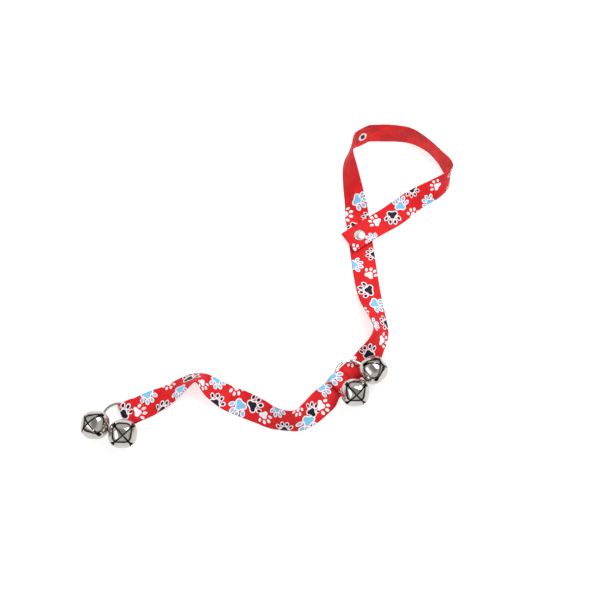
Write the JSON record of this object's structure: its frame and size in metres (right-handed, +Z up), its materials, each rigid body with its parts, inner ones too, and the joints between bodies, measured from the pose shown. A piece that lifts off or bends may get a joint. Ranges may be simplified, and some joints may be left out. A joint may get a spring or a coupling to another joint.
{
  "type": "bell strap",
  "caption": "Printed ribbon strap whose snapped end hangs on a door handle, with slotted jingle bells held in clusters on split rings.",
  "frame": {"origin": "bottom centre of the part's bounding box as it lies on a table in a loose zigzag", "axes": "+X along the longest extent, from the lower bell pair towards the bend of the hanging loop; +Y towards the top of the loop; +Z up from the table"},
  "size_m": [0.3684, 0.3507, 0.0336],
  "materials": {
    "red_ribbon": "woven polyester ribbon, soft satin face printed with paw shapes in white, light blue and navy",
    "red_thread": "sewing thread",
    "bell_nickel": "nickel plate, soft mirror",
    "eye_wire": "nickel-plated wire",
    "ring_wire": "nickel-plated split ring",
    "snap_metal": "bright pressed snap",
    "pellet_steel": "plain steel pellet"
  },
  "bodies": {
    "strap": {"strap_webbing": "red_ribbon", "pleat_stitching": "red_thread", "snap_stud": "snap_metal", "snap_eyelet": "snap_metal", "spare_stud": "snap_metal", "spare_eyelet": "snap_metal"},
    "tail": {"strap_tail": "red_ribbon", "snap_cap": "snap_metal", "snap_socket": "snap_metal"},
    "lower_strap": {"strap_lower": "red_ribbon", "hem_stitching": "red_thread"},
    "upper_ring": {"upper_ring": "ring_wire"},
    "lower_ring": {"lower_ring": "ring_wire"},
    "bell_1": {"bell_1_shell": "bell_nickel", "bell_1_eye": "eye_wire"},
    "bell_1_loose_pellet": {"bell_1_pellet": "pellet_steel"},
    "bell_2": {"bell_2_shell": "bell_nickel", "bell_2_eye": "eye_wire"},
    "bell_2_loose_pellet": {"bell_2_pellet": "pellet_steel"},
    "bell_3": {"bell_3_shell": "bell_nickel", "bell_3_eye": "eye_wire"},
    "bell_3_loose_pellet": {"bell_3_pellet": "pellet_steel"},
    "bell_4": {"bell_4_shell": "bell_nickel", "bell_4_eye": "eye_wire"},
    "bell_4_loose_pellet": {"bell_4_pellet": "pellet_steel"}
  },
  "joints": [
    {"name": "tail_peel", "type": "hinge", "parent": "strap", "child": "tail", "pos_m": [0.11, 0.0688, 0.0048], "axis": [-0.5408, 0.8412, 0], "range_deg": [0, 60]},
    {"name": "lower_strap_fold", "type": "hinge", "parent": "strap", "child": "lower_strap", "pos_m": [0.05463, -0.11629, 0.001], "axis": [-0.6947, 0.7193, 0], "range_deg": [0, 40]},
    {"name": "upper_ring_swing", "type": "hinge", "parent": "strap", "child": "upper_ring", "pos_m": [0.06347, -0.10775, 0.0047], "axis": [0.6947, -0.7193, 0], "range_deg": [0, 3]},
    {"name": "lower_ring_swing", "type": "hinge", "parent": "lower_strap", "child": "lower_ring", "pos_m": [-0.14431, -0.1384, 0.0033], "axis": [-0.4478, 0.8942, 0], "range_deg": [0, 3]},
    {"name": "bell_1_swing", "type": "hinge", "parent": "lower_ring", "child": "bell_1", "pos_m": [-0.1653, -0.15116, 0.0033], "axis": [0.342, -0.9397, 0], "range_deg": [0, 34]},
    {"name": "bell_1_rattle", "type": "slide", "parent": "bell_1", "child": "bell_1_loose_pellet", "axis": [-0.0544, -0.6302, 0.7745], "range_m": [0, 0.012]},
    {"name": "bell_2_swing", "type": "hinge", "parent": "lower_ring", "child": "bell_2", "pos_m": [-0.1468, -0.15612, 0.0033], "axis": [0.866, 0.5, 0], "range_deg": [0, 32]},
    {"name": "bell_2_rattle", "type": "slide", "parent": "bell_2", "child": "bell_2_loose_pellet", "axis": [0.6502, 0.021, 0.7595], "range_m": [0, 0.012]},
    {"name": "bell_3_swing", "type": "hinge", "parent": "upper_ring", "child": "bell_3", "pos_m": [0.07399, -0.11433, 0.0047], "axis": [0.9962, 0.0872, 0], "range_deg": [0, 26]},
    {"name": "bell_3_rattle", "type": "slide", "parent": "bell_3", "child": "bell_3_loose_pellet", "axis": [0.6038, -0.3205, 0.7299], "range_m": [0, 0.012]},
    {"name": "bell_4_swing", "type": "hinge", "parent": "upper_ring", "child": "bell_4", "pos_m": [0.08572, -0.10153, 0.0047], "axis": [-0.309, 0.9511, 0], "range_deg": [0, 28]},
    {"name": "bell_4_rattle", "type": "slide", "parent": "bell_4", "child": "bell_4_loose_pellet", "axis": [0.1764, 0.6604, 0.7299], "range_m": [0, 0.012]}
  ]
}
